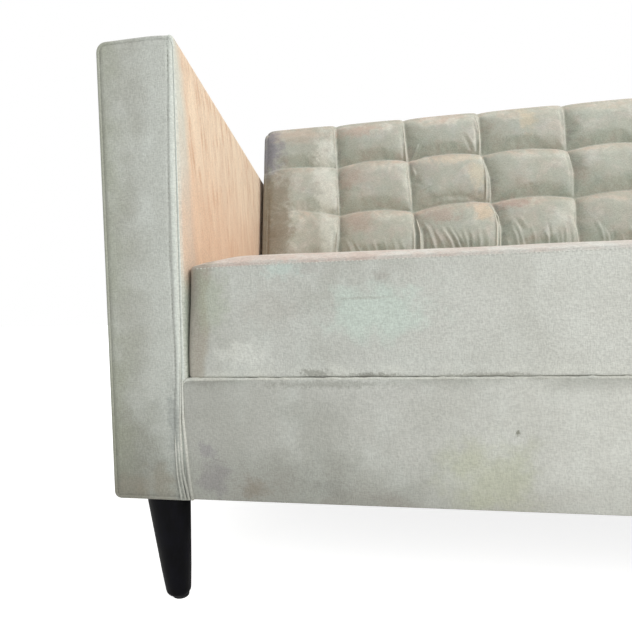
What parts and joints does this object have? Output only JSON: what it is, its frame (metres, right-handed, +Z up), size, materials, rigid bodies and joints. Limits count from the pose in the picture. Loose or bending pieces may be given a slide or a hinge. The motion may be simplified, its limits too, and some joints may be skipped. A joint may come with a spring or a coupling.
{
  "type": "fainting couch",
  "caption": "Fainting couch in velvet with a tall square arm at the head, a reclined grid-tufted back, a loose bench cushion and round tapered legs.",
  "frame": {"origin": "on the floor under the middle of the couch's length and depth", "axes": "+X along the couch from the arm at the head towards the open foot, +Y from the front towards the back, +Z up"},
  "size_m": [1.68, 0.7896, 0.88],
  "materials": {
    "velvet": "short-pile cotton velvet, pale grey-green with a pink cast on the nap",
    "leg_lacquer": "satin black lacquer on turned wood",
    "frame_wood": "planed pine, unfinished",
    "plywood": "birch plywood, unfinished",
    "hardboard": "smooth hardboard",
    "foam": "open-cell upholstery foam",
    "felt": "needled spring felt",
    "dust_cloth": "black spun-bonded dust cloth",
    "elastic_webbing": "woven rubber webbing",
    "spring_steel": "oil-tempered spring wire",
    "zinc_steel": "zinc-plated steel",
    "glide_plastic": "moulded nylon"
  },
  "bodies": {
    "couch_frame": {"leg_front_left": "leg_lacquer", "leg_front_right": "leg_lacquer", "leg_rear_left": "leg_lacquer", "leg_rear_right": "leg_lacquer", "hanger_bolt_front_left": "zinc_steel", "hanger_bolt_front_right": "zinc_steel", "hanger_bolt_rear_left": "zinc_steel", "hanger_bolt_rear_right": "zinc_steel", "glide_front_left": "glide_plastic", "glide_front_right": "glide_plastic", "glide_rear_left": "glide_plastic", "glide_rear_right": "glide_plastic", "front_rail": "frame_wood", "rear_rail": "frame_wood", "left_end_rail": "frame_wood", "right_end_rail": "frame_wood", "centre_stretcher": "frame_wood", "spring_rail": "frame_wood", "corner_block_front": "frame_wood", "corner_block_rear": "frame_wood", "seat_spring_1": "spring_steel", "seat_spring_2": "spring_steel", "seat_spring_3": "spring_steel", "seat_spring_4": "spring_steel", "seat_spring_5": "spring_steel", "seat_spring_6": "spring_steel", "seat_spring_7": "spring_steel", "seat_spring_8": "spring_steel", "deck_pad": "felt", "deck_cover": "velvet", "front_rail_cover": "velvet", "end_rail_cover": "velvet", "rear_rail_cover": "velvet", "dust_cover": "dust_cloth", "arm_bottom_rail": "frame_wood", "arm_front_post": "frame_wood", "arm_rear_post": "frame_wood", "arm_top_rail": "frame_wood", "arm_outer_board": "hardboard", "arm_inner_board": "hardboard", "arm_cover": "velvet", "arm_front_panel": "velvet", "arm_foam_wrap": "foam", "arm_front_foam": "foam", "arm_bolt_front": "zinc_steel", "arm_bolt_rear": "zinc_steel", "back_cover": "velvet", "back_foam": "foam", "outside_back_cover": "velvet", "back_top_rail": "frame_wood", "back_bottom_rail": "frame_wood", "back_upright_left": "plywood", "back_upright_middle": "plywood", "back_upright_right": "plywood", "back_webbing_lower": "elastic_webbing", "back_webbing_upper": "elastic_webbing"},
    "seat_cushion": {"seat_cushion_cover": "velvet", "seat_foam_core": "foam"},
    "zip_slider": {"zip_slider": "zinc_steel"},
    "zip_pull": {"zip_pull": "zinc_steel"}
  },
  "joints": [
    {"name": "cushion_lift", "type": "slide", "parent": "couch_frame", "child": "seat_cushion", "axis": [0, 0, 1], "range_m": [0, 0.3]},
    {"name": "zip_run", "type": "slide", "parent": "seat_cushion", "child": "zip_slider", "axis": [1, 0, 0], "range_m": [0, 0.89]},
    {"name": "zip_pull_swing", "type": "hinge", "parent": "zip_slider", "child": "zip_pull", "pos_m": [-0.5987, 0.11271, 0.39315], "axis": [0, 0, 1], "range_deg": [0, 170]}
  ]
}
